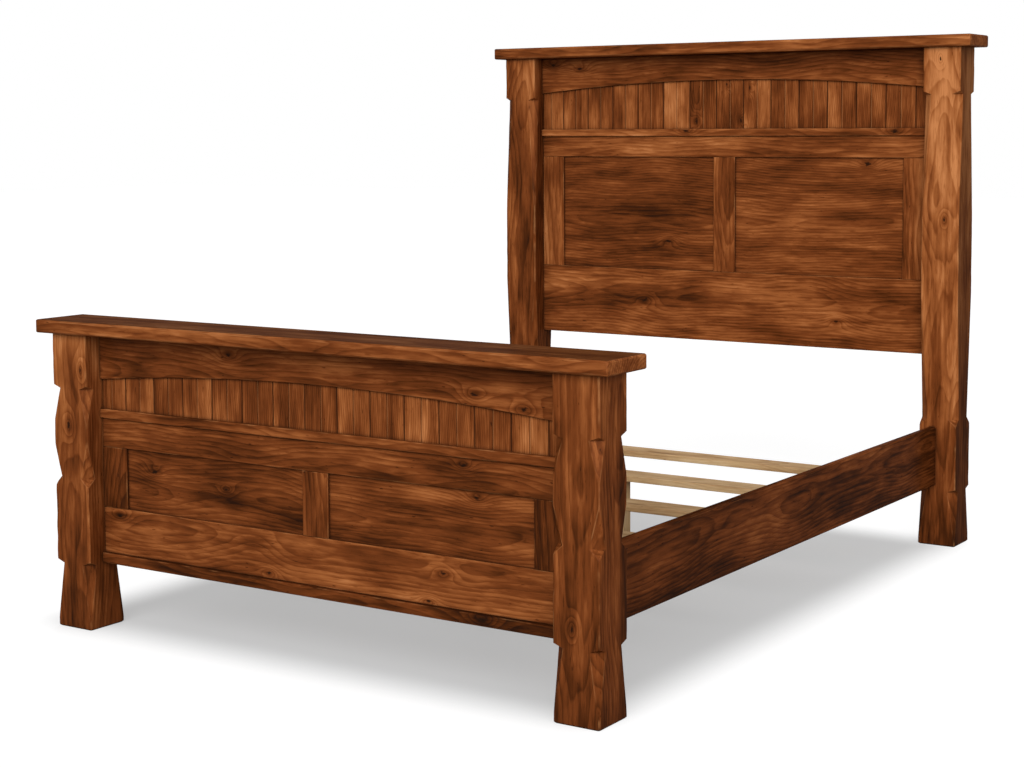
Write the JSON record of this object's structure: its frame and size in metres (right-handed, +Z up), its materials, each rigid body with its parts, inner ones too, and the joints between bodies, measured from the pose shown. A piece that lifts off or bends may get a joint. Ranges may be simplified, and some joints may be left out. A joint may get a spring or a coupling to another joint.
{
  "type": "bed frame",
  "caption": "Rustic panel bed frame: carved square posts, arched rails over tongue-and-groove boards, framed panels, hook-on side rails and lift-out slats.",
  "frame": {"origin": "on the floor, at the middle of the overall box", "axes": "+X to the right seen from the foot, +Y from the footboard to the headboard, +Z up"},
  "size_m": [1.796, 2.379, 1.635],
  "materials": {
    "post_wood": "stained, hand-worn arrises, satin",
    "cap_wood": "stained, satin",
    "arched_rail_wood": "stained, satin",
    "plank_wood": "stained, dark in the joints, satin",
    "strip_wood": "stained, satin",
    "frame_wood": "stained, satin",
    "panel_wood": "stained, satin",
    "side_rail_wood": "stained, satin",
    "plain_hardwood": "unfinished",
    "slat_wood": "planed, unfinished",
    "leg_wood": "planed, unfinished",
    "hook_steel": "zinc plated",
    "screw_steel": "zinc plated",
    "insert_steel": "zinc plated",
    "stud_steel": "zinc plated",
    "pad_plastic": "moulded"
  },
  "bodies": {
    "bed_ends": {"cap_dowels": "plain_hardwood", "footboard_arched_rail": "arched_rail_wood", "footboard_base_strip": "strip_wood", "footboard_bottom_rail": "frame_wood", "footboard_cap": "cap_wood", "footboard_hook_sockets": "hook_steel", "footboard_ledge_strip": "strip_wood", "footboard_left_panel": "panel_wood", "footboard_left_post": "post_wood", "footboard_left_stile": "frame_wood", "footboard_muntin": "frame_wood", "footboard_planks": "plank_wood", "footboard_right_panel": "panel_wood", "footboard_right_post": "post_wood", "footboard_right_stile": "frame_wood", "footboard_top_rail": "frame_wood", "headboard_arched_rail": "arched_rail_wood", "headboard_bottom_rail": "frame_wood", "headboard_cap": "cap_wood", "headboard_hook_sockets": "hook_steel", "headboard_ledge_strip": "strip_wood", "headboard_left_panel": "panel_wood", "headboard_left_post": "post_wood", "headboard_left_stile": "frame_wood", "headboard_muntin": "frame_wood", "headboard_planks": "plank_wood", "headboard_right_panel": "panel_wood", "headboard_right_post": "post_wood", "headboard_right_stile": "frame_wood", "headboard_top_rail": "frame_wood", "socket_plate_screws": "screw_steel"},
    "side_rails": {"cleat_screws": "screw_steel", "hook_plate_screws": "screw_steel", "left_cleat": "plain_hardwood", "left_rail_hooks": "hook_steel", "left_side_rail": "side_rail_wood", "right_cleat": "plain_hardwood", "right_rail_hooks": "hook_steel", "right_side_rail": "side_rail_wood"},
    "slat_1": {"slat_1": "slat_wood"},
    "slat_2": {"slat_2": "slat_wood", "leg_2": "leg_wood", "leg_screws_2": "screw_steel", "leg_insert_2": "insert_steel"},
    "swivel_pad_2": {"swivel_pad_2": "pad_plastic"},
    "levelling_stud_2": {"levelling_stud_2": "stud_steel"},
    "slat_3": {"slat_3": "slat_wood", "leg_3": "leg_wood", "leg_screws_3": "screw_steel", "leg_insert_3": "insert_steel"},
    "swivel_pad_3": {"swivel_pad_3": "pad_plastic"},
    "levelling_stud_3": {"levelling_stud_3": "stud_steel"},
    "slat_4": {"slat_4": "slat_wood", "leg_4": "leg_wood", "leg_screws_4": "screw_steel", "leg_insert_4": "insert_steel"},
    "swivel_pad_4": {"swivel_pad_4": "pad_plastic"},
    "levelling_stud_4": {"levelling_stud_4": "stud_steel"},
    "slat_5": {"slat_5": "slat_wood"}
  },
  "joints": [
    {"name": "rails_lift", "type": "slide", "parent": "bed_ends", "child": "side_rails", "axis": [0, 0, 1], "range_m": [0, 0.015]},
    {"name": "slat_1_lift", "type": "slide", "parent": "side_rails", "child": "slat_1", "axis": [0, 0, 1], "range_m": [0, 0.4]},
    {"name": "slat_2_lift", "type": "slide", "parent": "side_rails", "child": "slat_2", "axis": [0, 0, 1], "range_m": [0, 0.4]},
    {"name": "foot_2_height", "type": "slide", "parent": "slat_2", "child": "swivel_pad_2", "axis": [0, 0, 1], "range_m": [-0.012, 0.012]},
    {"name": "foot_2_turn", "type": "hinge", "parent": "swivel_pad_2", "child": "levelling_stud_2", "pos_m": [0, -0.39675, 0.02], "axis": [0, 0, 1], "range_deg": [-3460, 3460]},
    {"name": "slat_3_lift", "type": "slide", "parent": "side_rails", "child": "slat_3", "axis": [0, 0, 1], "range_m": [0, 0.4]},
    {"name": "foot_3_height", "type": "slide", "parent": "slat_3", "child": "swivel_pad_3", "axis": [0, 0, 1], "range_m": [-0.012, 0.012]},
    {"name": "foot_3_turn", "type": "hinge", "parent": "swivel_pad_3", "child": "levelling_stud_3", "pos_m": [0, 0.0025, 0.02], "axis": [0, 0, 1], "range_deg": [-3460, 3460]},
    {"name": "slat_4_lift", "type": "slide", "parent": "side_rails", "child": "slat_4", "axis": [0, 0, 1], "range_m": [0, 0.4]},
    {"name": "foot_4_height", "type": "slide", "parent": "slat_4", "child": "swivel_pad_4", "axis": [0, 0, 1], "range_m": [-0.012, 0.012]},
    {"name": "foot_4_turn", "type": "hinge", "parent": "swivel_pad_4", "child": "levelling_stud_4", "pos_m": [0, 0.40175, 0.02], "axis": [0, 0, 1], "range_deg": [-3460, 3460]},
    {"name": "slat_5_lift", "type": "slide", "parent": "side_rails", "child": "slat_5", "axis": [0, 0, 1], "range_m": [0, 0.4]}
  ],
  "couplings": [
    {"joint": "foot_2_turn", "follows": "foot_2_height", "rad_per_m": 5026.5},
    {"joint": "foot_3_turn", "follows": "foot_3_height", "rad_per_m": 5026.5},
    {"joint": "foot_4_turn", "follows": "foot_4_height", "rad_per_m": 5026.5}
  ]
}
